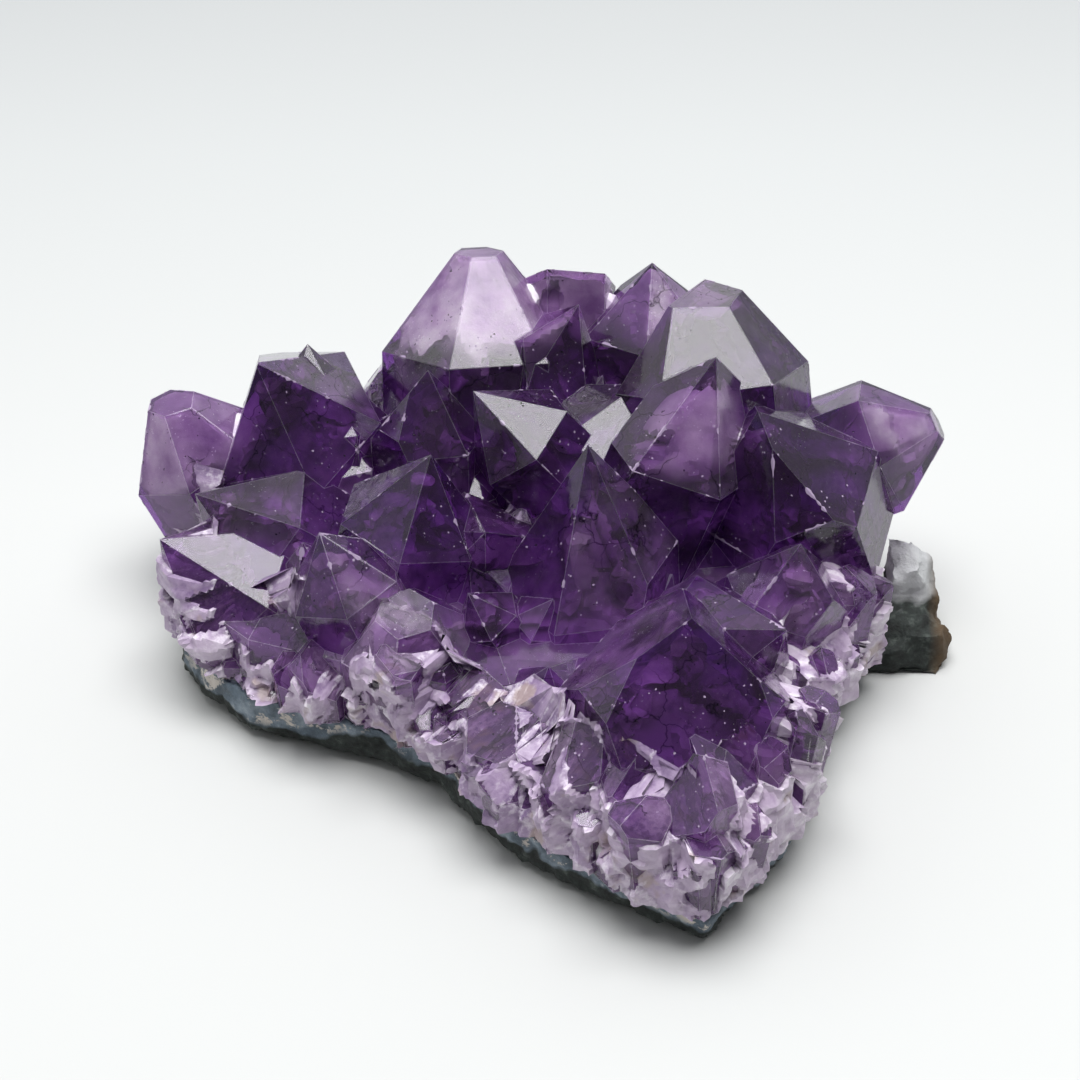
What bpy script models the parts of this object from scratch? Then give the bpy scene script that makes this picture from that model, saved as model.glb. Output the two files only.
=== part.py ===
"""Amethyst cluster: a slab of a geode, with its quartz crystals standing on the rind that they grew from.

Lengths in the tables are millimetres and angles are degrees. X runs to the right, Y runs away
from the front, Z is up, and the flat underside is at Z = 0.
"""

import math
import random
from dataclasses import dataclass, field

import bmesh
import bpy
from mathutils import Vector

MM = 0.001
GAP = 0.3 * MM  # between the quartz and the rind
BLOCK_SIZE = 400 * MM  # of the block that a crystal is cut from
CUT_TOLERANCE = 0.0001 * MM
SEED = 5

# Quartz: six prism faces under six pyramid faces that lie 38.2 degrees off the long axis.
FACES = 6
FACE_STEP = math.radians(360 / FACES)
PYRAMID_SLOPE = 38.2

# The rind is thickest at the left end. The quartz starts on its sloping top.
RIND_MIDDLE_HEIGHT = 7.5 * MM
RIND_SLOPE = 0.03
# Height and outset from the outline at each level of the rind and of the quartz mass on it.
RIND_LEVELS = ((0, -1.6 * MM), (1.8 * MM, 0.5 * MM), (5 * MM, 0.8 * MM), (12 * MM, 0))
BED_LEVELS = ((0, -0.4 * MM), (18 * MM, -1.5 * MM), (21 * MM, -8 * MM))

# The small crystals inside the slab: their spacing, how high they reach, and their rise to the back.
FILLING_COLUMNS = range(-5, 6)
FILLING_ROWS = range(-4, 5)
FILLING_STEP = 11
FILLING_SPREAD = 2.5
FILLING_HEIGHTS = (24, 29)
FILLING_RISE = 0.2
FILLING_RADII = (3.5, 6)
FILLING_LEANS = (5, 30)
FILLING_HEADING_SPREAD = 60
FILLING_MARGIN = 8

# Columns in the walls: the wall gets lower to the left of this x. Every column is a little out of
# line with its neighbours, and flat breaks take its top. Depths and losses are shares of its radius.
WALL_DROP_START = -15
WALL_HEADING_SPREAD = 25
WALL_INSET_SPREAD = 1.2
WALL_BREAKS = 2
WALL_BREAK_DEPTHS = (0.9, 1.5)
WALL_BREAK_LEANS = (10, 60)
WALL_BREAK_SPREAD = 100
WALL_SIDE_LOSS = (0.1, 0.5)

# The lump of rock at the right-hand end, which no column reaches.
LUMP_MIDDLE = (58, 12, 0)
LUMP_CLEARANCE = 11

# Corners of the slab seen from above, anticlockwise from the front corner.
FOOTPRINT = (
    (23, -54), (27, -48), (32, -43), (36, -36), (38, -26), (41, -17), (46, -6), (50, 3),
    (51, 12), (50, 21), (45, 30), (37, 34), (27, 40), (14, 44), (2, 45), (-12, 45),
    (-24, 44), (-35, 39), (-45, 34), (-52, 26), (-56, 15), (-55, 3), (-50, -4), (-44, -10),
    (-30, -15), (-22, -18), (-15, -23), (-6, -35), (0, -40), (8, -46), (16, -51),
)


@dataclass
class Crystal:
    """One crystal. Face 0 looks to the front before it is turned, and the count runs anticlockwise."""

    name: str
    tip: tuple  # where the pyramid faces meet, if nothing blunts them
    lean: float  # of the long axis, from upright
    toward: float  # heading of the lean, anticlockwise from +X
    turn: float  # of the faces about the long axis
    radius: float  # from the axis to a prism face
    slope: float = PYRAMID_SLOPE
    out: dict = field(default_factory=dict)  # pyramid face: how far it stands out, so that it is small
    side: dict = field(default_factory=dict)  # prism face: how far it stands out
    blunt: tuple = ()  # worn or broken tips: distance below the tip, lean and heading of the flat
    depth: float = 60


@dataclass
class WallRow:
    """One row of columns along the outline."""

    step: float
    radii: tuple
    heights: tuple
    inset: float
    most_lean: float
    drop: float


WALL_ROWS = (
    WallRow(step=4.6, radii=(2.4, 5), heights=(18, 29), inset=-0.4, most_lean=10, drop=0.1),
    WallRow(step=6.5, radii=(3.4, 6), heights=(24, 33), inset=2, most_lean=8, drop=0.35),
)


MAIN_CRYSTALS = (
    Crystal("back_left_tall", (-9.5, 46, 57), 20, 90, 14, 13.5, slope=34, blunt=((5, 20, 90),)),
    Crystal("back_middle_flat", (4, 54, 64), 15, 90, 12, 8, side={2: -3, 3: -5}, blunt=((22, 50, 90),), depth=50),
    Crystal("back_middle_low", (6, 36, 48), 25, 10, 10, 9, slope=37, out={5: 4}, depth=30),
    Crystal("back_right", (17.5, 44, 50.5), 8, 90, 25, 10, slope=43, side={2: -4, 3: -5}, depth=42),
    Crystal("back_right_far", (28, 43, 48), 15, 60, 10, 11, blunt=((2, 20, 50),)),
    Crystal(
        "right_bright", (22, 39, 60), 25, 105, 10, 15, slope=33,
        out={4: -5}, side={4: -5}, blunt=((10, 15, 90),), depth=50,
    ),
    Crystal("right_big", (26, 15, 52.5), 20, 10, 56, 12, slope=37, out={1: 5}, side={3: -6}),
    Crystal("right_edge", (32, 9, 47), 20, 210, 10, 13, slope=37, out={0: 2, 3: 1.5}, depth=30),
    Crystal("right_end", (64, 24, 35), 65, 0, 10, 9.5, blunt=((3, 60, 0),), depth=30),
    Crystal("far_left", (-60, 30, 38.5), 25, 170, 30, 10, slope=33, blunt=((5, 10, 170),), depth=28),
    Crystal("left_tall", (-43, 23, 46), 20, 240, 50, 14, slope=42, side={3: -5}, blunt=((1, 72, 175),)),
    Crystal("left_broken", (-36, 34, 42), 20, 100, 10, 10),
    Crystal("middle_left", (-17, 24, 44), 5, 100, 10, 8, slope=36, out={5: 1.5}, depth=30),
    Crystal("middle_grey", (-10, 17, 45), 40, 180, 50, 8, slope=36, depth=20),
    Crystal("middle_white", (15, 23, 42), 30, 30, 35, 9, slope=40, out={3: 5}),
    Crystal("left_front_tall", (-16, 5, 42), 15, 15, 22, 10, slope=39, depth=24),
    Crystal("middle_dark", (-8, -2, 33), 35, 285, 45, 9, slope=37, out={1: 4}),
    Crystal("centre", (7, 2, 46), 5, 160, 5, 14, slope=31, side={1: -3}),
    Crystal("left_front", (-57, 4, 27), 45, 190, 5, 12, slope=40),
    Crystal("left_lying", (-52, 10, 31), 50, 190, 20, 10),
    Crystal("left_dark", (-32, -6, 36), 20, 185, 35, 8, slope=40),
    Crystal("front_pale", (-20, -14, 32), 10, 250, 20, 9, blunt=((5, 15, 270),)),
    Crystal("front_right", (21, -29, 39), 5, 330, 0, 15, slope=45, out={1: 4, 3: 5, 5: 3}),
    Crystal("front_low", (35, -22, 31), 45, 325, 10, 11, slope=38),
    Crystal("right_pink", (38, -6, 34), 10, 325, 45, 8, out={0: 3}),
    Crystal("rear_left", (-34, 41, 32), 30, 110, 20, 8, depth=40),
    Crystal("rear_left_low", (-22, 50, 33), 45, 95, 50, 7, depth=40),
    Crystal("rear_middle", (2, 54, 36), 45, 90, 15, 8, depth=40),
    Crystal("rear_right", (16, 50, 36), 35, 80, 40, 8, depth=40),
    Crystal("rear_right_low", (38, 42, 34), 45, 60, 0, 8, depth=40),
    Crystal("rear_end", (-52, 36, 27), 40, 130, 30, 7, depth=40),
)


def direction(lean, toward):
    """The unit vector that leans this far from upright, to this heading."""
    lean, toward = math.radians(lean), math.radians(toward)
    flat = math.sin(lean)
    return Vector((flat * math.cos(toward), flat * math.sin(toward), math.cos(lean)))


def across_axes(axis, turn):
    """Two unit vectors across a long axis: the first faces the front, before the turn."""
    front = Vector((0, -1, 0))
    first = (front - front.dot(axis) * axis).normalized()
    second = axis.cross(first)
    turn = math.radians(turn)
    return (
        first * math.cos(turn) + second * math.sin(turn),
        second * math.cos(turn) - first * math.sin(turn),
    )


def cut(solid, point, outward):
    """Takes away what lies beyond the plane, and closes the flat face that is left."""
    parts = solid.verts[:] + solid.edges[:] + solid.faces[:]
    made = bmesh.ops.bisect_plane(
        solid, geom=parts, plane_co=point, plane_no=outward, dist=CUT_TOLERANCE, clear_outer=True
    )
    rim = [part for part in made["geom_cut"] if isinstance(part, bmesh.types.BMEdge)]
    if len(rim) > 2:
        bmesh.ops.contextual_create(solid, geom=rim)


def crystal_solid(crystal):
    """A block cut by the crystal's prism faces, pyramid faces, blunt tip and root."""
    axis = direction(crystal.lean, crystal.toward)
    first, second = across_axes(axis, crystal.turn)
    tip = Vector(crystal.tip) * MM
    slope = math.radians(crystal.slope)
    solid = bmesh.new()
    bmesh.ops.create_cube(solid, size=BLOCK_SIZE)
    bmesh.ops.translate(solid, verts=solid.verts, vec=tip)
    for number in range(FACES):
        angle = number * FACE_STEP
        across = first * math.cos(angle) + second * math.sin(angle)
        side = (crystal.radius + crystal.side.get(number, 0)) * MM
        cut(solid, tip + across * side, across)
        outward = across * math.cos(slope) + axis * math.sin(slope)
        cut(solid, tip + outward * crystal.out.get(number, 0) * MM, outward)
    for drop, lean, toward in crystal.blunt:
        cut(solid, tip - axis * drop * MM, direction(lean, toward))
    cut(solid, tip - axis * crystal.depth * MM, -axis)
    cut_to_bed(solid)
    bmesh.ops.recalc_face_normals(solid, faces=solid.faces)
    return solid


def rind_plane(gap):
    """A point and the upward normal of the sloping plane between rind and quartz."""
    normal = Vector((RIND_SLOPE, 0, 1)).normalized()
    return Vector((0, 0, RIND_MIDDLE_HEIGHT + gap)), normal


def cut_to_bed(solid):
    """Takes away what would reach below the quartz, into the rind."""
    point, normal = rind_plane(GAP)
    cut(solid, point, -normal)


def outline_headings(outline):
    """The heading that faces outward at each corner of the slab."""
    headings = []
    for index in range(len(outline)):
        before, after = outline[index - 1], outline[(index + 1) % len(outline)]
        headings.append(math.degrees(math.atan2(before[0] - after[0], after[1] - before[1])))
    return headings


def slab_solid(levels):
    """A solid on the slab's outline. Each level gives a height and how far the outline stands out."""
    headings = outline_headings(FOOTPRINT)
    solid = bmesh.new()
    rings = []
    for height, outset in levels:
        ring = []
        for (x, y), heading in zip(FOOTPRINT, headings):
            out = direction(90, heading) * outset
            ring.append(solid.verts.new((x * MM + out.x, y * MM + out.y, height)))
        rings.append(ring)
    solid.faces.new(rings[0])
    solid.faces.new(rings[-1])
    for lower, upper in zip(rings, rings[1:]):
        for index in range(len(lower)):
            after = (index + 1) % len(lower)
            solid.faces.new((lower[index], lower[after], upper[after], upper[index]))
    bmesh.ops.recalc_face_normals(solid, faces=solid.faces)
    return solid


def bed_solid():
    """The quartz mass that every crystal grows out of."""
    bed = slab_solid(BED_LEVELS)
    cut_to_bed(bed)
    bmesh.ops.recalc_face_normals(bed, faces=bed.faces)
    return bed


def wall_crystals(dice):
    """The broken side walls: two rows of quartz columns along the outline, leaning out as they grew."""
    headings = outline_headings(FOOTPRINT)
    columns = []
    for index, corner in enumerate(FOOTPRINT):
        start = Vector((*corner, 0))
        end = Vector((*FOOTPRINT[(index + 1) % len(FOOTPRINT)], 0))
        for row in WALL_ROWS:
            count = max(1, round((end - start).length / row.step))
            for step in range(count):
                heading = headings[index] + dice.uniform(-WALL_HEADING_SPREAD, WALL_HEADING_SPREAD)
                radius = dice.uniform(*row.radii)
                height = dice.uniform(*row.heights) - row.drop * max(0, WALL_DROP_START - start.x)
                lean = dice.uniform(0, row.most_lean)
                inward = direction(90, heading) * (radius + row.inset + dice.uniform(-WALL_INSET_SPREAD, 0))
                root = start.lerp(end, (step + 0.5) / count) - inward
                tip = root + direction(lean, heading) * height / math.cos(math.radians(lean))
                broken = [
                    (
                        radius * dice.uniform(*WALL_BREAK_DEPTHS),
                        dice.uniform(*WALL_BREAK_LEANS),
                        heading + dice.uniform(-WALL_BREAK_SPREAD, WALL_BREAK_SPREAD),
                    )
                    for _ in range(WALL_BREAKS)
                ]
                side = {dice.randrange(FACES): -radius * dice.uniform(*WALL_SIDE_LOSS)}
                turn = dice.uniform(0, 60)
                name = f"wall_{len(columns)}"
                if (root - Vector(LUMP_MIDDLE)).length > LUMP_CLEARANCE:
                    columns.append(
                        Crystal(name, tuple(tip), lean, heading, turn, radius, side=side, blunt=broken)
                    )
    return columns


def filling_crystals(dice):
    """Small crystals between the large ones, on a loose grid inside the slab's outline."""
    found = []
    for column in FILLING_COLUMNS:
        for row in FILLING_ROWS:
            x = column * FILLING_STEP + dice.uniform(-FILLING_SPREAD, FILLING_SPREAD)
            y = row * FILLING_STEP + dice.uniform(-FILLING_SPREAD, FILLING_SPREAD)
            turn = dice.uniform(0, 60)
            lean = dice.uniform(*FILLING_LEANS)
            outward = math.degrees(math.atan2(y, x))
            toward = outward + dice.uniform(-FILLING_HEADING_SPREAD, FILLING_HEADING_SPREAD)
            height = dice.uniform(*FILLING_HEIGHTS) + max(0, y) * FILLING_RISE
            radius = dice.uniform(*FILLING_RADII)
            if inside_outline(x, y, FILLING_MARGIN):
                name = f"filling_{len(found)}"
                found.append(Crystal(name, (x, y, height), lean, toward, turn, radius))
    return found


def inside_outline(x, y, margin):
    """Whether a point lies in the slab, at least this many millimetres from its edge."""
    crossings = 0
    for index, (ax, ay) in enumerate(FOOTPRINT):
        bx, by = FOOTPRINT[(index + 1) % len(FOOTPRINT)]
        edge = Vector((bx - ax, by - ay))
        along = max(0, min(1, Vector((x - ax, y - ay)).dot(edge) / edge.length_squared))
        if (Vector((x, y)) - Vector((ax, ay)) - edge * along).length < margin:
            return False
        if (ay > y) != (by > y) and x < (bx - ax) * (y - ay) / (by - ay) + ax:
            crossings += 1
    return crossings % 2 == 1


def rock_solid(middle, size, cuts):
    """A lump of rock: a block with its corners broken off by flat cuts."""
    solid = bmesh.new()
    bmesh.ops.create_cube(solid, size=1)
    bmesh.ops.scale(solid, verts=solid.verts, vec=Vector(size) * MM)
    bmesh.ops.translate(solid, verts=solid.verts, vec=Vector(middle) * MM)
    for reach, lean, toward in cuts:
        outward = direction(lean, toward)
        cut(solid, Vector(middle) * MM + outward * reach * MM, outward)
    cut(solid, Vector((0, 0, 0)), Vector((0, 0, -1)))
    bmesh.ops.recalc_face_normals(solid, faces=solid.faces)
    return solid


def rind_solid():
    """The agate and its dark skin, from the flat underside to the sloping plane under the quartz."""
    rind = slab_solid(RIND_LEVELS)
    point, normal = rind_plane(0)
    cut(rind, point, normal)
    bmesh.ops.recalc_face_normals(rind, faces=rind.faces)
    return rind


LUMP_ROCKS = (
    # middle, size, and the flat cuts that break its corners off: reach, lean, heading
    (
        (57, 10, 3), (13, 12, 10),
        ((5, 60, 180), (5.6, 50, 20), (5.2, 60, 300), (6.5, 75, 335), (5.5, 40, 250), (5.4, 50, 100)),
    ),
    (
        (58.5, 17, 8), (8, 9, 16),
        ((6.6, 30, 0), (4.6, 70, 330), (5, 60, 60), (6.4, 30, 200), (4.4, 80, 20)),
    ),
    (
        (61, 8.5, 4.5), (7, 7, 5.5),
        ((2.6, 60, 40), (3.2, 60, 330), (3.4, 80, 310), (2.4, 20, 120)),
    ),
)


def make_material(name, colour, roughness, transmission, ior):
    """A material with one Principled shader."""
    material = bpy.data.materials.new(name)
    material.use_nodes = True
    shader = material.node_tree.nodes["Principled BSDF"]
    shader.inputs["Base Color"].default_value = (*colour, 1)
    shader.inputs["Roughness"].default_value = roughness
    shader.inputs["Transmission Weight"].default_value = transmission
    shader.inputs["IOR"].default_value = ior
    material.diffuse_color = (*colour, 1)
    return material


def make_object(name, solid, material, collection):
    """An object that holds the solid's mesh."""
    mesh = bpy.data.meshes.new(name)
    solid.to_mesh(mesh)
    solid.free()
    mesh.materials.append(material)
    thing = bpy.data.objects.new(name, mesh)
    collection.objects.link(thing)
    return thing


def fuse(body, body_name, solids, material):
    """Joins the solids to the body with one Boolean union. They stay as hidden helpers."""
    helpers = bpy.data.collections.new(f"{body_name} helpers")
    bpy.context.scene.collection.children.link(helpers)
    for name, solid in solids:
        helper = make_object(name, solid, material, helpers)
        helper.hide_render = True
        helper.display_type = "WIRE"
    union = body.modifiers.new("Grown together", "BOOLEAN")
    union.operation = "UNION"
    union.solver = "EXACT"
    union.operand_type = "COLLECTION"
    union.collection = helpers


def centre_on_base(solids):
    """Moves every solid so that the middle of the whole part, seen from above, is at the origin."""
    points = [vert.co for solid in solids for vert in solid.verts]
    xs = [point.x for point in points]
    ys = [point.y for point in points]
    shift = Vector((-(min(xs) + max(xs)) / 2, -(min(ys) + max(ys)) / 2, 0))
    for solid in solids:
        bmesh.ops.translate(solid, verts=solid.verts, vec=shift)


def main():
    for thing in list(bpy.data.objects):
        bpy.data.objects.remove(thing, do_unlink=True)
    dice = random.Random(SEED)
    crystals = (*MAIN_CRYSTALS, *wall_crystals(dice), *filling_crystals(dice))
    grown = [(crystal.name, crystal_solid(crystal)) for crystal in crystals]
    rocks = [(f"lump_{number}", rock_solid(*rock)) for number, rock in enumerate(LUMP_ROCKS)]
    bed, rind = bed_solid(), rind_solid()
    centre_on_base([bed, rind] + [solid for _, solid in grown + rocks])
    scene = bpy.context.scene.collection
    amethyst = make_material("Amethyst quartz", (0.13, 0.05, 0.2), 0.08, 0.9, 1.544)
    agate = make_material("Agate and basalt rind", (0.05, 0.07, 0.075), 0.6, 0, 1.54)
    crystal_mass = make_object("amethyst_crystals", bed, amethyst, scene)
    rind_mass = make_object("agate_rind", rind, agate, scene)
    fuse(crystal_mass, "amethyst_crystals", grown, amethyst)
    fuse(rind_mass, "agate_rind", rocks, agate)


if __name__ == "__main__":
    main()
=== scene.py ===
"""Amethyst cluster: the looks of the quartz crystals, their milky roots and the agate rind.

Lengths are metres unless a name ends in _mm. The cluster's front points to -Y.
"""

import math
import random

import bmesh
import bpy
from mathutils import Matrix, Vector, noise
from mathutils.bvhtree import BVHTree


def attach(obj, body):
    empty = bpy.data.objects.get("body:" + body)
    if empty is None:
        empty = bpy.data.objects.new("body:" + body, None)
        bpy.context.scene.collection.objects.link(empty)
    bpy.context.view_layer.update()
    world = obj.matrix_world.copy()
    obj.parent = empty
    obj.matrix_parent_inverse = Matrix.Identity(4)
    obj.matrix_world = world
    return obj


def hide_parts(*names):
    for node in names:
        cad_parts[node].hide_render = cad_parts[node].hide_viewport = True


bl_info = {
    "name": "Amethyst Cluster",
    "version": (1, 0, 0),
    "blender": (4, 5, 0),
    "location": "View3D > Sidebar > Cluster",
    "description": "Dresses a packed amethyst cluster: crystals, quartz roots, rind and studio",
    "category": "Add Mesh",
}

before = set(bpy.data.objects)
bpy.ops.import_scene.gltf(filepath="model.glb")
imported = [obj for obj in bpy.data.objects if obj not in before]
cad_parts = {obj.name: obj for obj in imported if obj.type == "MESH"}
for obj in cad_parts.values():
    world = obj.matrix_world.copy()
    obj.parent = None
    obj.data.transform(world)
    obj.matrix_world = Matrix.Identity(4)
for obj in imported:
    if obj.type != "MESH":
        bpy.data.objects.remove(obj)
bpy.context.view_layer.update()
MM = 0.001

CRYSTALS = "amethyst_crystals"
RIND = "agate_rind"
FLAT_ANGLE = math.radians(1)
SAME_POINT = 0.002 * MM

NOISE = "ShaderNodeTexNoise"
RANGE = "ShaderNodeMapRange"
RAMP = "ShaderNodeValToRGB"
MATH = "ShaderNodeMath"
MIX = "ShaderNodeMix"
BUMP = "ShaderNodeBump"
STORED = "ShaderNodeAttribute"
PLACE = "ShaderNodeTexCoord"
AXES = "ShaderNodeSeparateXYZ"

# A rim of this width on each crystal face carries the pale chips along its edges.
CHIPPED_RIM = 0.25 * MM
NARROW_FACE = 0.7 * MM
# Faces steeper than this carry the fine lines across a quartz prism.
PRISM_SLOPE = 0.4
HAZE_CELL = 6 * MM

# The cloudy inside: its mesh, how much its depth varies, and the size of its veils and shards.
CLOUD_MESH = 0.9 * MM
CLOUD_DEPTH = 5 * MM
CLOUD_RISE = 4.6 * MM  # how much nearer to the faces it lies where the quartz is milky
CLOUD_SPREAD = 3.5 * MM
CLOUD_PATCH = 8 * MM
CLOUD_SHARE = 0.4  # the most of a crystal's thickness that it lies in
CLOUD_TOP = 0.6 * MM
CLOUD_BOTTOM = 0.4 * MM
CLOUD_SMOOTHING = 6
CLOUD_SHARD = Vector((9, 9, 10)) * MM
CLOUD_TILT = 0.6
CLOUD_LEAST = 0.7 * MM
CLOUD_CLOSE = 1 * MM  # the most it lies under the faces of fully milky crystals
CLOUD_SOFT_ANGLE = math.radians(25)
ROOT_HEIGHT = 17 * MM  # of the milky roots over the rind
ROOT_MILK = 0.9

# Where the quartz is milky to the tips (above 0), or clear and deep (below 0): the middle and reach
# of each place in millimetres on the drawing, and how strongly.
MILKINESS = (
    ((-58, 30, 32), 17, 1.6),
    ((-9, 42, 48), 18, 1.4),
    ((-13, 36, 36), 13, 0.8),
    ((4, 46, 46), 10, 0.9),
    ((17, 44, 46), 11, 0.7),
    ((22, 36, 48), 12, 0.6),
    ((56, 24, 35), 12, 0.9),
    ((24, 8, 44), 11, 1.1),
    ((7, -8, 36), 9, 0.4),
    ((-8, -2, 30), 12, -1),
    ((-43, 23, 42), 10, -0.6),
    ((-17, 24, 40), 10, -0.7),
    ((36, 8, 40), 11, -0.7),
    ((35, -20, 30), 8, -0.7),
    ((-20, -14, 26), 12, 0.7),
    ((21, -46, 24), 11, 0.4),
    ((21, -29, 34), 9, -0.6),
)

# White chips along the edges, and pits on the faces.
SHARP_EDGE = math.radians(15)
CHIP_STEP = 0.4 * MM
CHIP_WIDTH = 0.7 * MM
CHIP_LIFT = 0.03 * MM
CHIP_LENGTH = 1.8 * MM
CHIP_STRETCH = 6 * MM  # of edge that is worn, or whole
CHIP_WEAR = 0.34
PIT_SHARE = 0.35  # pits for each square millimetre of face
PIT_SIZES = (0.08 * MM, 0.22 * MM)
PIT_CORNERS = 5
DARK_PITS = 0.2
SEED = 5

# Corners of the slab seen from above, in millimetres on the drawing.
FOOTPRINT = (
    (23, -54), (27, -48), (32, -43), (36, -36), (38, -26), (41, -17), (46, -6), (50, 3),
    (51, 12), (50, 21), (45, 30), (37, 34), (27, 40), (14, 44), (2, 45), (-12, 45),
    (-24, 44), (-35, 39), (-45, 34), (-52, 26), (-56, 15), (-55, 3), (-50, -4), (-44, -10),
    (-30, -15), (-22, -18), (-15, -23), (-6, -35), (0, -40), (8, -46), (16, -51),
)
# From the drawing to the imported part.
SHIFT = Vector((-0.8, 1.4, 0)) * MM
RIND_TOP = 7.5 * MM
RIND_SLOPE = 0.03
RIND_MESH = 0.7 * MM

# The broken walls: their mesh and height, and how they follow the outer faces of the crystals.
WALL_MESH = 0.5 * MM
WALL_LOW = 15 * MM
WALL_HIGH = 24 * MM
WALL_SPARE = 4 * MM  # of mesh over the highest part
WALL_SEARCH = 12 * MM  # how far outside the outline the faces are looked for
WALL_DEEP = 3 * MM  # how far inside or outside it the wall may go
WALL_REACH = 1 * MM  # of the shards over the crystals' faces
WALL_SINK = 1.5 * MM  # of the shards on faces that look up
WALL_SOFT_ANGLE = math.radians(28)
FACES_UP = 0.45

# The shards of the walls: their sizes, how they tilt, and how the rows bend.
SHARD_SIZE = Vector((3.4, 3.4, 7)) * MM
SMALL_SHARD_SIZE = Vector((1.3, 1.3, 2.6)) * MM
SHARD_TILT = 0.76
SHARD_LEAN = 1.2
LEAN_PATCH = 16 * MM
SHARD_BEND = 1.2 * MM
BEND_PATCH = 7 * MM
TOP_PATCH = 18 * MM
TOP_SPREAD = 5 * MM
SUNK = -3.5 * MM
MISSING_SHARD = -1.4 * MM
WHOLE_SHARDS = 0.88
SHARD_MOST = 1.8 * MM

# The camera, from where the photograph was taken. The aim is over the middle of the slab.
CAMERA_ELEVATION = math.radians(38)
CAMERA_DISTANCE = 420 * MM
CAMERA_AIM = SHIFT + Vector((0, 0, 30)) * MM
SENSOR = 36
FOCAL_LENGTH = 94.5

LAMP_SIZE = (0.7, 0.56)
LAMP_PLACE = (0.07, -0.03, 0.9)
LAMP_ENERGY = 10.5
FLOOR_RADIUS = 3


def hex_colour(text):
    """A linear RGBA colour from an sRGB hex value."""
    values = [int(text[index:index + 2], 16) / 255 for index in (0, 2, 4)]
    linear = [v / 12.92 if v <= 0.04045 else ((v + 0.055) / 1.055) ** 2.4 for v in values]
    return (*linear, 1)


def add_node(tree, kind, inputs=None, settings=None):
    """Adds a node. An input takes a value, another node's output, or a node for its first output."""
    node = tree.nodes.new(kind)
    for name, value in (settings or {}).items():
        if name == "steps":
            fill_ramp(node.color_ramp.elements, value)
        else:
            setattr(node, name, value)
    for name, value in (inputs or {}).items():
        if isinstance(value, bpy.types.Node):
            value = value.outputs[0]
        if isinstance(value, bpy.types.NodeSocket):
            tree.links.new(value, node.inputs[name])
        else:
            node.inputs[name].default_value = value
    return node


def fill_ramp(ends, steps):
    """Gives a colour ramp its (position, hex colour) steps."""
    while len(ends) < len(steps):
        ends.new(0.5)
    for end, (position, colour) in zip(ends, steps):
        end.position = position
        end.color = hex_colour(colour)


def grains(place, width_mm, detail=2, roughness=0.5):
    """Inputs of a noise whose patches are about this wide."""
    return {"Vector": place, "Scale": 1000 / width_mm, "Detail": detail, "Roughness": roughness}


def span(value, low, high, to_low=0, to_high=1):
    """Inputs that map a value from one range to another."""
    return {"Value": value, "From Min": low, "From Max": high, "To Min": to_low, "To Max": to_high}


def lay_over(tree, base, layers):
    """Lays each colour over the base, as much as its share says."""
    for share, colour in layers:
        colour = hex_colour(colour) if isinstance(colour, str) else colour
        base = add_node(tree, MIX, {0: share, 6: base, 7: colour}, {"data_type": "RGBA"}).outputs[2]
    return base


def new_material(name):
    """An empty node material, its tree and the place of each point on the object."""
    material = bpy.data.materials.new(name)
    material.use_nodes = True
    tree = material.node_tree
    tree.nodes.clear()
    return material, tree, add_node(tree, PLACE).outputs["Object"]


def end_material(tree, surface, volume=None):
    """The Principled shader with these inputs, and the output."""
    inputs = {"Surface": add_node(tree, "ShaderNodeBsdfPrincipled", surface)}
    if volume:
        inputs["Volume"] = volume
    add_node(tree, "ShaderNodeOutputMaterial", inputs)


def crack_lines(tree, place, size_mm, width):
    """Thin crooked lines between patches of about this size, only here and there."""
    bend = add_node(tree, NOISE, grains(place, size_mm / 3, 3)).outputs["Color"]
    bend = add_node(
        tree, "ShaderNodeVectorMath", {0: bend, "Scale": size_mm * 0.5 * MM}, {"operation": "SCALE"}
    )
    bent = add_node(tree, "ShaderNodeVectorMath", {0: place, 1: bend}, {"operation": "ADD"})
    cells = add_node(
        tree, "ShaderNodeTexVoronoi", {"Vector": bent, "Scale": 1000 / size_mm},
        {"feature": "DISTANCE_TO_EDGE"},
    )
    line = add_node(tree, RANGE, span(cells.outputs["Distance"], 0, width, 1, 0))
    patch = add_node(tree, NOISE, grains(place, size_mm * 1.5, 1))
    here = add_node(tree, RANGE, span(patch, 0.52, 0.58))
    return add_node(tree, MATH, {0: line, 1: here}, {"operation": "MULTIPLY"})


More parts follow.
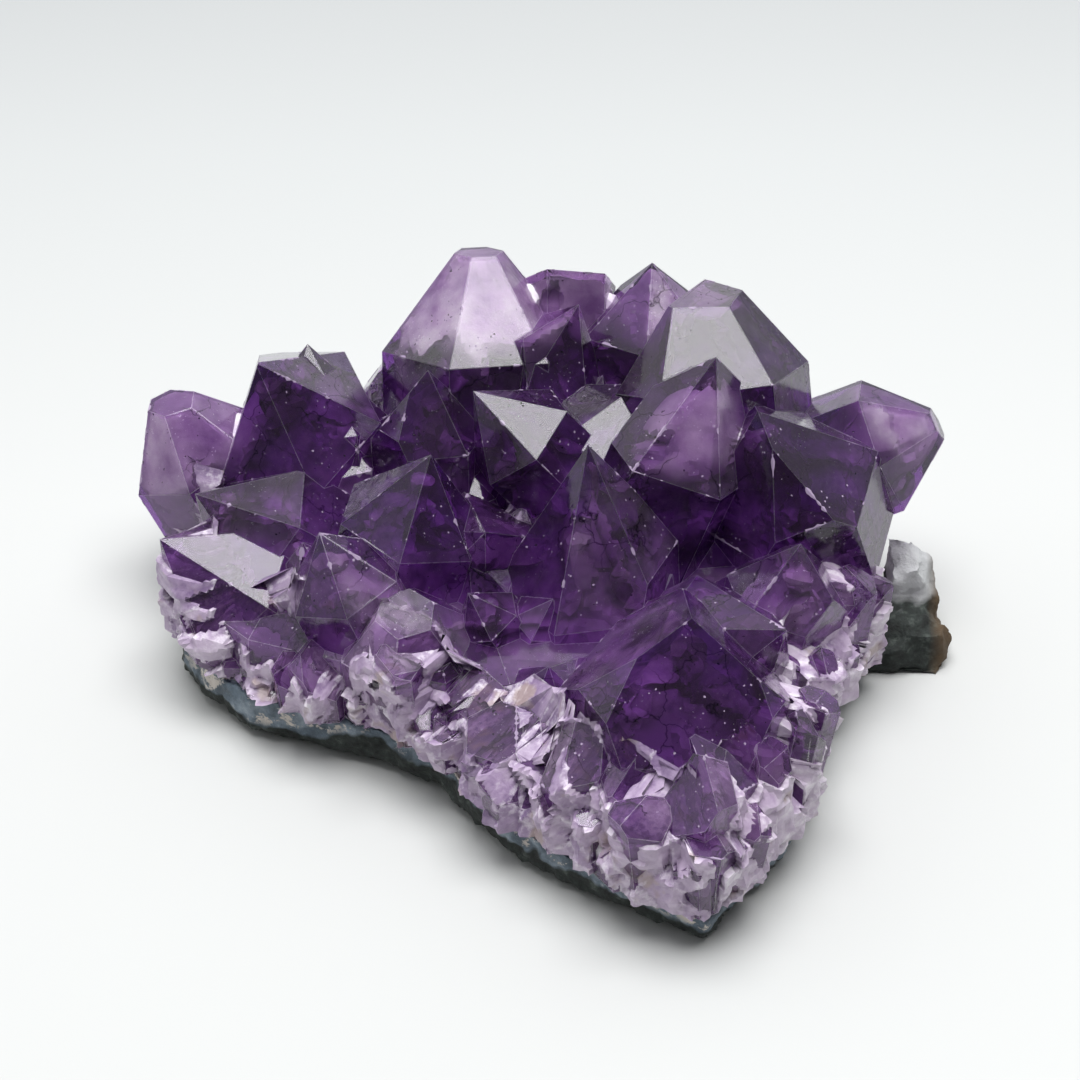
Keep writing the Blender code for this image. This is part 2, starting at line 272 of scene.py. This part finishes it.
def amethyst_material(settings):
    """Amethyst quartz, grown faces: clear and violet all through, so it darkens with depth.

    Growth pits, chips and haze make some faces satin and paler than others.
    """
    material, tree, place = new_material("Amethyst quartz, grown faces")
    stored = {
        name: add_node(tree, STORED, settings={"attribute_name": name}).outputs["Fac"]
        for name in ("haze", "rim", "striated")
    }
    patches = add_node(tree, RANGE, span(add_node(tree, NOISE, grains(place, 7, 4, 0.6)), 0.35, 0.65, 0.2))
    haze = add_node(tree, MATH, {0: stored["haze"], 1: patches}, {"operation": "MULTIPLY"})
    pits = add_node(tree, RANGE, span(add_node(tree, NOISE, grains(place, 0.45)), 0.66, 0.72))
    pitted = add_node(tree, RANGE, span(add_node(tree, NOISE, grains(place, 5)), 0.45, 0.6))
    pits = add_node(tree, MATH, {0: pits, 1: pitted}, {"operation": "MULTIPLY"})
    dark_holes = add_node(tree, RANGE, span(add_node(tree, NOISE, grains(place, 0.9, 1)), 0.76, 0.78))
    flakes = add_node(tree, NOISE, grains(place, 0.8, 3, 0.6))
    chips = add_node(tree, MATH, {0: stored["rim"], 1: flakes}, {"operation": "ADD"})
    chips = add_node(tree, RANGE, span(chips, 1.0, 1.35))
    steps = ((0.0, "9468A8"), (0.4, "CCB2D4"), (0.9, "FAF6FA"))
    body = lay_over(tree, add_node(tree, RAMP, {0: haze}, {"steps": steps}).outputs["Color"], (
        (pits, "F0EAF4"), (dark_holes, "1C1026"), (chips, "EFE8F2"),
        (crack_lines(tree, place, 10, 0.018), "2A1A30"),
    ))
    worn = add_node(tree, MATH, {0: pits, 1: chips}, {"operation": "MAXIMUM"})
    rough = add_node(tree, MATH, {0: haze, 1: 0.22, 2: 0.05}, {"operation": "MULTIPLY_ADD"})
    rough = add_node(tree, MATH, {0: worn, 1: 0.3, 2: rough}, {"operation": "MULTIPLY_ADD"})
    hills = add_node(tree, NOISE, grains(place, 3.5, 3))
    fine = add_node(tree, NOISE, grains(place, 0.7, 3, 0.6))
    height = add_node(tree, MATH, {0: fine, 1: 0.12, 2: hills}, {"operation": "MULTIPLY_ADD"})
    along = add_node(tree, "ShaderNodeMapping", {"Vector": place, "Scale": (0.12, 0.12, 1)})
    lines = add_node(tree, NOISE, grains(along, 0.9, 3, 0.6))
    lines = add_node(tree, MATH, {0: lines, 1: stored["striated"]}, {"operation": "MULTIPLY"})
    height = add_node(tree, MATH, {0: lines, 1: 0.5, 2: height}, {"operation": "MULTIPLY_ADD"})
    absorption = add_node(
        tree, "ShaderNodeVolumeAbsorption",
        {"Color": settings.violet, "Density": settings.depth_of_colour},
    )
    surface = {
        "Base Color": body,
        "Roughness": rough,
        "Normal": add_node(tree, BUMP, {"Strength": 0.3, "Distance": 0.2 * MM, "Height": height}),
        "Transmission Weight": 0.95,
        "IOR": 1.544,
    }
    end_material(tree, surface, absorption)
    return material


def cloud_material():
    """Milky quartz, veils: white at the roots of the crystals, deeper violet toward the tips."""
    material, tree, place = new_material("Milky quartz, veils")
    level = add_node(tree, AXES, {0: place}).outputs["Z"]
    pale = add_node(tree, STORED, settings={"attribute_name": "pale"}).outputs["Fac"]
    veils = add_node(tree, NOISE, grains(place, 6, 5, 0.6))
    centred = add_node(tree, MATH, {0: veils, 1: 0.5}, {"operation": "SUBTRACT"})
    lift = add_node(tree, MATH, {0: centred, 1: 45 * MM, 2: level}, {"operation": "MULTIPLY_ADD"})
    tone = add_node(tree, RANGE, span(lift, 10 * MM, 50 * MM))
    steps = ((0.0, "F4EEF2"), (0.35, "D2C2D6"), (0.6, "93749F"), (1, "3C2348"))
    milk_steps = ((0.3, "B79CC4"), (0.5, "E2D6E6"), (0.65, "F8F4F8"))
    shadows = add_node(tree, NOISE, grains(place, 11, 3, 0.6))
    base = lay_over(tree, add_node(tree, RAMP, {0: tone}, {"steps": steps}).outputs["Color"], (
        (add_node(tree, RANGE, span(shadows, 0.48, 0.64, 0, 0.85)), "2A1434"),
        (
            add_node(tree, RANGE, span(pale, 0.5, 0.9, 0, 0.95)),
            add_node(tree, RAMP, {0: veils}, {"steps": milk_steps}),
        ),
        (add_node(tree, RANGE, span(pale, 0, 0.45, 0.9, 0)), "1C0C26"),
    ))
    bump = add_node(tree, BUMP, {"Strength": 0.6, "Distance": 0.6 * MM, "Height": veils})
    end_material(tree, {"Base Color": base, "Normal": bump, "Roughness": 0.35})
    return material


def wall_material():
    """Milky quartz, freshly broken: lilac shards with white edges and a few iron stains."""
    material, tree, place = new_material("Milky quartz, broken")
    rim, tone = [
        add_node(tree, STORED, settings={"attribute_name": name}).outputs["Fac"] for name in ("rim", "tone")
    ]
    grain = add_node(tree, NOISE, grains(place, 1.2, 4, 0.65))
    centred = add_node(tree, MATH, {0: grain, 1: 0.5}, {"operation": "SUBTRACT"})
    # The stored tone holds painted light and shade: lighter on shards facing right, darker under crystal
    # faces that look up.
    tone = add_node(tree, MATH, {0: centred, 1: 0.7, 2: tone}, {"operation": "MULTIPLY_ADD"})
    steps = ((0.0, "7D668B"), (0.25, "A08BAA"), (0.55, "BBA9C1"), (0.85, "D0C3D4"), (1, "E2DAE4"))
    broken = add_node(tree, RANGE, span(grain, 0.35, 0.6, 0.3))
    edges = add_node(tree, MATH, {0: rim, 1: broken}, {"operation": "MULTIPLY"})
    stains = add_node(tree, NOISE, grains(place, 6, 3))
    base = lay_over(tree, add_node(tree, RAMP, {0: tone}, {"steps": steps}).outputs["Color"], (
        (add_node(tree, RANGE, span(stains, 0.6, 0.68, 0, 0.7)), "A8958C"),
        (add_node(tree, RANGE, span(edges, 0.4, 0.9, 0, 0.7)), "E6DFE8"),
    ))
    bump = add_node(tree, BUMP, {"Strength": 0.5, "Distance": 0.3 * MM, "Height": grain})
    end_material(tree, {"Base Color": base, "Normal": bump, "Roughness": 0.32})
    return material


def chip_material():
    """Quartz, crushed: white powder in the glass dulls it where an edge was knocked or a pit grew."""
    material, tree, _ = new_material("Quartz, chipped white")
    end_material(tree, {"Base Color": hex_colour("9C8AA6"), "Roughness": 0.35})
    return material


def inclusion_material():
    """Goethite, grown on the faces: dark brown specks with an earthy gloss."""
    material, tree, _ = new_material("Goethite specks")
    end_material(tree, {"Base Color": hex_colour("1C1018"), "Roughness": 0.5})
    return material


def rind_material():
    """Basalt under a band of agate: rough green-black skin, then smoother blue-grey chalcedony.

    The lump at the right-hand end is bare basalt with a white block of quartz and a rusty tip.
    """
    material, tree, place = new_material("Agate on basalt")
    axes = add_node(tree, AXES, {0: place}).outputs
    waves = add_node(tree, NOISE, grains(place, 9, 3))
    waves = add_node(tree, MATH, {0: waves, 1: 0.5}, {"operation": "SUBTRACT"})
    level = add_node(tree, MATH, {0: waves, 1: 9 * MM, 2: axes["Z"]}, {"operation": "MULTIPLY_ADD"})
    right = add_node(tree, RANGE, span(axes["X"], 18 * MM, 30 * MM, 0, 2.6 * MM))
    level = add_node(tree, MATH, {0: level, 1: right}, {"operation": "ADD"})
    lump = add_node(tree, RANGE, span(axes["X"], 50 * MM, 52 * MM))
    slab = add_node(tree, MATH, {0: 1, 1: lump}, {"operation": "SUBTRACT"})
    agate = add_node(tree, RANGE, span(level, 4.2 * MM, 4.9 * MM))
    agate = add_node(tree, MATH, {0: agate, 1: slab}, {"operation": "MULTIPLY"})
    skin_steps = ((0.35, "0D110F"), (0.55, "262D2A"), (0.75, "555C57"))
    skin = add_node(tree, RAMP, {0: add_node(tree, NOISE, grains(place, 2, 4, 0.65))}, {"steps": skin_steps})
    blue_steps = ((0.3, "38444E"), (0.5, "5C6B78"), (0.7, "95A1AC"))
    blue = add_node(tree, RAMP, {0: add_node(tree, NOISE, grains(place, 4, 4, 0.6))}, {"steps": blue_steps})
    flat = add_node(tree, "ShaderNodeMapping", {"Vector": place, "Scale": (1, 1, 1.6)})
    flecks = add_node(tree, RANGE, span(add_node(tree, NOISE, grains(flat, 5, 5, 0.7)), 0.53, 0.57))
    high = add_node(tree, RANGE, span(level, 4.6 * MM, 5.6 * MM))
    flecks = add_node(tree, MATH, {0: flecks, 1: high}, {"operation": "MULTIPLY"})
    block = add_node(tree, RANGE, span(axes["Z"], 8 * MM, 9 * MM))
    block = add_node(tree, MATH, {0: lump, 1: block}, {"operation": "MULTIPLY"})
    rust = add_node(tree, RANGE, span(axes["X"], 59.5 * MM, 61.5 * MM, 0, 0.8))
    blue = lay_over(tree, blue.outputs["Color"], ((flecks, "CFC6BD"),))
    layers = ((agate, blue), (block, "BFC0C2"), (rust, "5E4A33"))
    grain = add_node(tree, NOISE, grains(place, 0.8, 4, 0.7))
    surface = {
        "Base Color": lay_over(tree, skin.outputs["Color"], layers),
        "Normal": add_node(tree, BUMP, {"Strength": 0.8, "Distance": 0.4 * MM, "Height": grain}),
        "Roughness": add_node(tree, RANGE, span(agate, 0, 1, 0.75, 0.45)),
    }
    end_material(tree, surface)
    return material


def floor_material():
    """Paper, matt and white, with painted shade: a little darker where it runs away from the light."""
    material, tree, place = new_material("White paper")
    depth = add_node(tree, AXES, {0: place}).outputs["Y"]
    # Painted shade: the paper's colour darkens toward the back, standing in for the lamp's falloff.
    away = add_node(tree, RANGE, span(depth, 50 * MM, 280 * MM))
    steps = ((0.0, "C8C9C8"), (0.5, "C0C2C2"), (1, "B2B4B5"))
    base = add_node(tree, RAMP, {0: away}, {"steps": steps})
    end_material(tree, {"Base Color": base, "Roughness": 0.8})
    return material


def merged_copy(node):
    """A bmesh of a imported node's mesh, its loose triangles joined into the flat faces they make."""
    solid = bmesh.new()
    solid.from_mesh(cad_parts[node].data)
    bmesh.ops.remove_doubles(solid, verts=solid.verts, dist=SAME_POINT)
    bmesh.ops.dissolve_limit(
        solid, angle_limit=FLAT_ANGLE, verts=solid.verts, edges=solid.edges, use_dissolve_boundaries=False
    )
    bmesh.ops.recalc_face_normals(solid, faces=solid.faces)
    return solid


def milkiness(place):
    """How milky (above 0) or how clear and deep (below 0) the quartz is at a point."""
    total = 0
    for middle, reach, strength in MILKINESS:
        far = (place - SHIFT - Vector(middle) * MM).length / (reach * MM)
        total += strength * max(0, 1 - far ** 3)
    return max(-1, min(1, total))


def outline_points(step):
    """Points along the slab's outline, each with the direction that leads out."""
    corners = [Vector((x, y, 0)) * MM + SHIFT for x, y in FOOTPRINT]
    ways = []
    for index in range(len(corners)):
        along = corners[(index + 1) % len(corners)] - corners[index - 1]
        ways.append(Vector((along.y, -along.x, 0)).normalized())
    points = []
    for index, corner in enumerate(corners):
        after = (index + 1) % len(corners)
        count = round((corners[after] - corner).length / step)
        for number in range(count):
            share = number / count
            way = ways[index].lerp(ways[after], share).normalized()
            points.append((corner.lerp(corners[after], share), way))
    return points


def rind_top(x):
    """The height at which the quartz starts."""
    return RIND_TOP - RIND_SLOPE * (x - SHIFT.x)


def finished(name, solid, material, node, smooth_angle=None):
    """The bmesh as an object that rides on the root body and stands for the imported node."""
    mesh = bpy.data.meshes.new(name)
    solid.to_mesh(mesh)
    solid.free()
    mesh.materials.append(material)
    piece = bpy.data.objects.new(name, mesh)
    bpy.context.scene.collection.objects.link(piece)
    if smooth_angle:
        mesh.shade_smooth()
        mesh.set_sharp_from_angle(angle=smooth_angle)
    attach(piece, "root")
    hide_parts(node)
    return piece


def remeshed(solid, voxel):
    """The solid as an even mesh of small squares."""
    mesh = bpy.data.meshes.new("remesh source")
    solid.to_mesh(mesh)
    solid.free()
    thing = bpy.data.objects.new("remesh source", mesh)
    bpy.context.scene.collection.objects.link(thing)
    modifier = thing.modifiers.new("Even mesh", "REMESH")
    modifier.mode = "VOXEL"
    modifier.voxel_size = voxel
    graph = bpy.context.evaluated_depsgraph_get()
    even = bmesh.new()
    even.from_object(thing, graph)
    bpy.data.objects.remove(thing, do_unlink=True)
    bpy.data.meshes.remove(mesh)
    even.normal_update()
    return even


def cell_of(point, size):
    """The cell of a cellular pattern that holds a point: its middle, its own three numbers, its rim."""
    distances, points = noise.voronoi(Vector([point[axis] / size[axis] for axis in range(3)]))
    middle = Vector([points[0][axis] * size[axis] for axis in range(3)])
    return middle, noise.noise_vector(points[0] * 7.7), distances[1] - distances[0]


class ClusterSettings(bpy.types.PropertyGroup):
    """What a user would change."""

    violet: bpy.props.FloatVectorProperty(
        name="Violet", description="Colour that the quartz lets through",
        subtype="COLOR", size=4, min=0, max=1, default=hex_colour("C461E0"),
    )
    depth_of_colour: bpy.props.FloatProperty(
        name="Depth of colour", description="How fast the quartz takes light away, per metre",
        min=0, default=130,
    )
    cloud_depth: bpy.props.FloatProperty(
        name="Cloud depth", description="How far under the faces the milky quartz lies",
        subtype="DISTANCE", precision=4, default=CLOUD_DEPTH,
    )
    wall_height: bpy.props.FloatProperty(
        name="Wall height", description="How high the broken quartz reaches",
        subtype="DISTANCE", precision=4, default=WALL_HIGH,
    )
    chip_width: bpy.props.FloatProperty(
        name="Chip width", description="Width of the widest chips along the edges",
        subtype="DISTANCE", precision=5, default=CHIP_WIDTH,
    )


class CLUSTER_OT_crystals(bpy.types.Operator):
    """Makes the clear violet crystals"""

    bl_idname = "cluster.crystals"
    bl_label = "Crystals"

    def execute(self, context):
        solid = merged_copy(CRYSTALS)
        rim = solid.verts.layers.float.new("rim")
        haze = solid.faces.layers.float.new("haze")
        striated = solid.faces.layers.float.new("striated")
        for face in solid.faces:
            middle = face.calc_center_median()
            own = noise.cell(face.normal * 40 + middle / HAZE_CELL)
            face[haze] = 0.7 * own + 0.5 * milkiness(middle)
            face[striated] = 1 if abs(face.normal.z) < PRISM_SLOPE else 0
        for vert in solid.verts:
            vert[rim] = 1
        wide = [face for face in solid.faces if 4 * face.calc_area() / face.calc_perimeter() > NARROW_FACE]
        bmesh.ops.inset_individual(solid, faces=wide, thickness=CHIPPED_RIM, use_even_offset=True)
        for face in wide:
            for vert in face.verts:
                vert[rim] = 0
        bmesh.ops.triangulate(solid, faces=solid.faces)
        material = amethyst_material(context.scene.cluster_settings)
        piece = finished("amethyst_points", solid, material, CRYSTALS)
        return {"FINISHED"}


class CLUSTER_OT_clouds(bpy.types.Operator):
    """Makes the milky quartz inside the crystals"""

    bl_idname = "cluster.clouds"
    bl_label = "Milky inside"

    def execute(self, context):
        outer = merged_copy(CRYSTALS)
        bmesh.ops.triangulate(outer, faces=outer.faces)
        faces = BVHTree.FromBMesh(outer)
        solid = remeshed(outer, CLOUD_MESH)
        pale = solid.verts.layers.float.new("pale")
        sink_cloud(solid, faces, pale, context.scene.cluster_settings.cloud_depth)
        for _ in range(CLOUD_SMOOTHING):
            bmesh.ops.smooth_vert(
                solid, verts=solid.verts, factor=0.5, use_axis_x=True, use_axis_y=True, use_axis_z=True
            )
        solid.normal_update()
        tilt_cloud(solid, faces, pale)
        solid.normal_update()
        piece = finished("milky_quartz_inside", solid, cloud_material(), CRYSTALS, CLOUD_SOFT_ANGLE)
        return {"FINISHED"}


def sink_cloud(solid, faces, pale, usual_depth):
    """Moves the cloud's mesh inward from the faces, less where the quartz is milky."""
    moves = []
    for vert in solid.verts:
        inward = -vert.normal
        across = faces.ray_cast(vert.co + inward * 0.5 * MM, inward)[3] or 0
        root = 1 - (vert.co.z - rind_top(vert.co.x)) / ROOT_HEIGHT
        milk = max(milkiness(vert.co), min(ROOT_MILK, root * 1.5))
        spread = CLOUD_SPREAD * (1 - max(0, milk)) * noise.noise(vert.co / CLOUD_PATCH)
        depth = usual_depth - CLOUD_RISE * milk + spread
        moves.append(inward * max(CLOUD_BOTTOM, min(depth, CLOUD_SHARE * across + CLOUD_TOP)))
        vert[pale] = 0.5 + 0.5 * milk
    for vert, move in zip(solid.verts, moves):
        vert.co += move


def tilt_cloud(solid, faces, pale):
    """Breaks the cloud into tilted veils, and keeps it inside and close under milky faces."""
    for vert in solid.verts:
        middle, luck, _ = cell_of(vert.co, CLOUD_SHARD)
        room = faces.find_nearest(vert.co)[3] - CLOUD_LEAST
        vert.co += vert.normal * min(room, (vert.co - middle).dot(luck) * CLOUD_TILT)
        near, _, _, depth = faces.find_nearest(vert.co)
        most = CLOUD_CLOSE + (1 - vert[pale]) * 4 * CLOUD_DEPTH
        if depth > most:
            vert.co = near.lerp(vert.co, most / depth)


class CLUSTER_OT_walls(bpy.types.Operator):
    """Makes the broken quartz round the sides"""

    bl_idname = "cluster.walls"
    bl_label = "Broken walls"

    def execute(self, context):
        outer = merged_copy(CRYSTALS)
        bmesh.ops.triangulate(outer, faces=outer.faces)
        faces = BVHTree.FromBMesh(outer)
        outer.free()
        high = context.scene.cluster_settings.wall_height
        places = outline_points(WALL_MESH)
        rows = round((high + WALL_SPARE - RIND_TOP) / WALL_MESH)
        solid = bmesh.new()
        rim = solid.verts.layers.float.new("rim")
        # tone: random per shard, with painted light on shards facing right and painted shade under faces
        # that look up.
        tone = solid.verts.layers.float.new("tone")
        bmesh.ops.create_grid(solid, x_segments=len(places), y_segments=rows - 1, size=1)
        seam = []
        for vert in solid.verts:
            column = round((vert.co.x + 1) / 2 * len(places))
            row = round((vert.co.y + 1) / 2 * (rows - 1))
            if column in (0, len(places)):
                seam.append(vert)
            place, outward = places[column % len(places)]
            point = place + Vector((0, 0, rind_top(place.x) + row * WALL_MESH))
            vert.co, vert[rim], vert[tone] = wall_point(point, outward, faces, high)
        bmesh.ops.remove_doubles(solid, verts=seam, dist=SAME_POINT)
        solid.normal_update()
        piece = finished("broken_quartz_walls", solid, wall_material(), CRYSTALS, WALL_SOFT_ANGLE)
        return {"FINISHED"}


def wall_point(point, outward, faces, high):
    """Where the broken wall stands at a point of the outline, how near a rim it is, and its tone, with
    painted shade where the crystal face beside it looks up.
    """
    reach, rim, shade = shard(point, outward, high)
    gap = faces.ray_cast(point + outward * WALL_SEARCH, -outward)[3]
    glass = WALL_SEARCH - (gap if gap is not None else WALL_SEARCH)
    point = point + outward * (reach + max(-WALL_DEEP, min(WALL_DEEP, glass)))
    near, normal, _, _ = faces.find_nearest(point)
    most = WALL_REACH * (1 - 2.2 * max(0, normal.z - FACES_UP))
    if (point - near).dot(normal) > most:
        point = near + normal * max(most, -WALL_SINK)
    # Painted shade: the tone darkens where the nearest crystal face looks up toward the lamp.
    return point, rim, shade - 0.45 * max(0, normal.z - 0.2)


def shard(point, outward, high):
    """How far the broken wall stands out at a point, how near it is to a shard's rim, and its tone, with
    painted light on shards that face right.
    """
    along = Vector((-outward.y, outward.x, 0))
    lean = noise.noise(point / LEAN_PATCH) * SHARD_LEAN
    bent = point + along * lean * (point.z - RIND_TOP) + noise.noise_vector(point / BEND_PATCH) * SHARD_BEND
    middle, luck, gap = cell_of(bent, SHARD_SIZE)
    small_middle, small_luck, small_gap = cell_of(bent, SMALL_SHARD_SIZE)
    top = WALL_LOW + (high - WALL_LOW) * (0.5 + noise.noise(middle / TOP_PATCH)) + luck.x * TOP_SPREAD
    reach = (0.5 + 0.6 * luck.y) * MM
    if middle.z > top:
        reach = SUNK
    elif noise.cell(middle * 900) > WHOLE_SHARDS:
        reach = MISSING_SHARD
    reach += (bent - middle).dot(luck) * SHARD_TILT
    reach += (bent - small_middle).dot(small_luck) * SHARD_TILT + 0.25 * MM * small_luck.y
    rim = max(1 - gap / 0.2, 0.7 - small_gap / 0.15, 0)
    # Painted light: shards whose outline faces right (+X) get a lighter tone; the rest of the tone varies at
    # random.
    tone = 0.56 + luck.z * 0.55 + small_luck.z * 0.3 + 0.2 * outward.x
    return min(reach, SHARD_MOST), rim, tone


class CLUSTER_OT_chips(bpy.types.Operator):
    """Makes the white chips along the crystals' edges and the small pits on their faces"""

    bl_idname = "cluster.chips"
    bl_label = "Chips and pits"

    def execute(self, context):
        outer = merged_copy(CRYSTALS)
        chips = bmesh.new()
        width = context.scene.cluster_settings.chip_width
        for edge in outer.edges:
            if len(edge.link_faces) == 2 and edge.is_convex and edge.calc_face_angle() > SHARP_EDGE:
                add_chips(chips, edge, width)
        dice = random.Random(SEED)
        white, dark = bmesh.new(), bmesh.new()
        bmesh.ops.triangulate(outer, faces=outer.faces)
        for face in outer.faces:
            corners = [vert.co for vert in face.verts]
            for _ in range(round(face.calc_area() / MM ** 2 * PIT_SHARE + dice.uniform(-0.5, 0.5))):
                add_pit(dark if dice.random() < DARK_PITS else white, corners, face.normal, dice)
        outer.free()
        pieces = (
            ("chipped_edges", chips, chip_material()),
            ("white_growth_pits", white, chip_material()),
            ("dark_inclusions", dark, inclusion_material()),
        )
        for name, solid, material in pieces:
            piece = finished(name, solid, material, CRYSTALS)
        return {"FINISHED"}


def add_chips(solid, edge, most):
    """A ribbon over one edge. It is wide where the edge is chipped and ends where it is whole."""
    start, end = [vert.co for vert in edge.verts]
    along = (end - start).normalized()
    sides = []
    for face in edge.link_faces:
        across = face.normal.cross(along)
        inward = face.calc_center_median() - start
        sides.append(across if across.dot(inward) > 0 else -across)
    lift = (edge.link_faces[0].normal + edge.link_faces[1].normal).normalized() * CHIP_LIFT
    count = max(2, round((end - start).length / CHIP_STEP))
    last = None
    for number in range(count + 1):
        place = start.lerp(end, number / count)
        wear = noise.noise(place / CHIP_LENGTH) + 0.6 * noise.noise(place / CHIP_STRETCH)
        row = None
        if wear > CHIP_WEAR:
            width = most * min(1, (wear - 0.15) * 1.4)
            ragged = width * (0.5 + 0.5 * noise.cell(place * 9000))
            row = [solid.verts.new(place + side * ragged + lift) for side in sides]
            row.insert(1, solid.verts.new(place + lift * 2))
        if row and last:
            for side in (0, 1):
                face = solid.faces.new((last[side], row[side], row[side + 1], last[side + 1]))
                face.normal_update()
                if face.normal.dot(lift) < 0:
                    face.normal_flip()
        last = row


def add_pit(solid, corners, normal, dice):
    """One small flat flake at a random place on a triangle, mostly where the pits crowd."""
    first, second = sorted((dice.random(), dice.random()))
    place = corners[0] * first + corners[1] * (second - first) + corners[2] * (1 - second)
    if noise.noise(place / (6 * MM)) < dice.uniform(-0.1, 0.5):
        return
    size = dice.uniform(*PIT_SIZES)
    across = normal.orthogonal().normalized()
    other = normal.cross(across)
    start = dice.uniform(0, math.tau)
    ring = []
    for corner in range(PIT_CORNERS):
        angle = start + corner * math.tau / PIT_CORNERS
        reach = size * dice.uniform(0.5, 1.2)
        way = across * math.cos(angle) + other * math.sin(angle)
        ring.append(solid.verts.new(place + way * reach + normal * CHIP_LIFT))
    solid.faces.new(ring)


class CLUSTER_OT_rind(bpy.types.Operator):
    """Makes the rough rind of agate and basalt"""

    bl_idname = "cluster.rind"
    bl_label = "Rind"

    def execute(self, context):
        solid = remeshed(merged_copy(RIND), RIND_MESH)
        for vert in solid.verts:
            broad = noise.noise(vert.co / (6 * MM))
            fine = noise.turbulence(vert.co / (2 * MM), 3, False)
            vert.co += vert.normal * (0.7 * broad + 0.6 * fine - 0.5) * MM
            vert.co.z = max(vert.co.z, 0)
        piece = finished("agate_and_basalt_rind", solid, rind_material(), RIND, math.radians(50))
        return {"FINISHED"}


class CLUSTER_OT_studio(bpy.types.Operator):
    """Makes the pale floor, the soft light and the camera"""

    bl_idname = "cluster.studio"
    bl_label = "Studio"

    def execute(self, context):
        make_floor()
        make_light()
        make_world()
        make_camera()
        return {"FINISHED"}


def make_floor():
    """A wide white floor."""
    solid = bmesh.new()
    bmesh.ops.create_circle(solid, cap_ends=True, segments=64, radius=FLOOR_RADIUS)
    mesh = bpy.data.meshes.new("floor")
    solid.to_mesh(mesh)
    solid.free()
    mesh.materials.append(floor_material())
    floor = bpy.data.objects.new("floor", mesh)
    bpy.context.scene.collection.objects.link(floor)


def make_light():
    """One large soft box overhead."""
    light = bpy.data.lights.new("Overhead box", "AREA")
    light.shape = "RECTANGLE"
    light.size, light.size_y = LAMP_SIZE
    light.energy = LAMP_ENERGY
    lamp = bpy.data.objects.new("Overhead box", light)
    lamp.location = LAMP_PLACE
    bpy.context.scene.collection.objects.link(lamp)


def make_world():
    """A white room, darker toward the camera and to the right."""
    world = bpy.data.worlds.new("White room")
    bpy.context.scene.world = world
    world.use_nodes = True
    tree = world.node_tree
    tree.nodes.clear()
    way = add_node(tree, PLACE).outputs["Generated"]
    axes = add_node(tree, AXES, {0: way}).outputs
    toward = add_node(tree, MATH, {0: axes["X"], 1: -0.45, 2: axes["Y"]}, {"operation": "MULTIPLY_ADD"})
    share = add_node(tree, RANGE, span(toward, -1, 1))
    steps = ((0.0, "303132"), (0.35, "808283"), (0.6, "EEF2F4"), (1, "FFFFFF"))
    shade = add_node(tree, RAMP, {0: share}, {"steps": steps})
    back = add_node(tree, "ShaderNodeBackground", {"Strength": 1.0, "Color": shade})
    add_node(tree, "ShaderNodeOutputWorld", {"Surface": back})


def make_camera():
    """A camera where the photograph was taken from."""
    camera = bpy.data.cameras.new("Camera")
    camera.sensor_width = SENSOR
    camera.lens = FOCAL_LENGTH
    camera.clip_start = 0.01
    camera.clip_end = 20
    thing = bpy.data.objects.new("Camera", camera)
    back = Vector((0, -math.cos(CAMERA_ELEVATION), math.sin(CAMERA_ELEVATION)))
    thing.location = CAMERA_AIM + back * CAMERA_DISTANCE
    thing.rotation_euler = (math.pi / 2 - CAMERA_ELEVATION, 0, 0)
    bpy.context.scene.collection.objects.link(thing)
    bpy.context.scene.camera = thing


class CLUSTER_PT_panel(bpy.types.Panel):
    """Lists what the add-on makes"""

    bl_idname = "CLUSTER_PT_panel"
    bl_label = "Amethyst Cluster"
    bl_space_type = "VIEW_3D"
    bl_region_type = "UI"
    bl_category = "Cluster"

    def draw(self, context):
        settings = context.scene.cluster_settings
        for name in settings.bl_rna.properties.keys():
            if name not in ("rna_type", "name"):
                self.layout.prop(settings, name)
        for operator in OPERATORS:
            self.layout.operator(operator.bl_idname)


OPERATORS = (
    CLUSTER_OT_crystals, CLUSTER_OT_clouds, CLUSTER_OT_walls, CLUSTER_OT_chips, CLUSTER_OT_rind,
    CLUSTER_OT_studio,
)
CLASSES = (ClusterSettings, *OPERATORS, CLUSTER_PT_panel)


def register():
    for kind in CLASSES:
        bpy.utils.register_class(kind)
    bpy.types.Scene.cluster_settings = bpy.props.PointerProperty(type=ClusterSettings)


def unregister():
    del bpy.types.Scene.cluster_settings
    for kind in reversed(CLASSES):
        bpy.utils.unregister_class(kind)


def main():
    register()
    noise.seed_set(SEED)
    bpy.ops.cluster.crystals()
    bpy.ops.cluster.clouds()
    bpy.ops.cluster.walls()
    bpy.ops.cluster.chips()
    bpy.ops.cluster.rind()
    bpy.ops.cluster.studio()
    bpy.context.scene.view_settings.view_transform = "Standard"


if __name__ == "__main__":
    main()
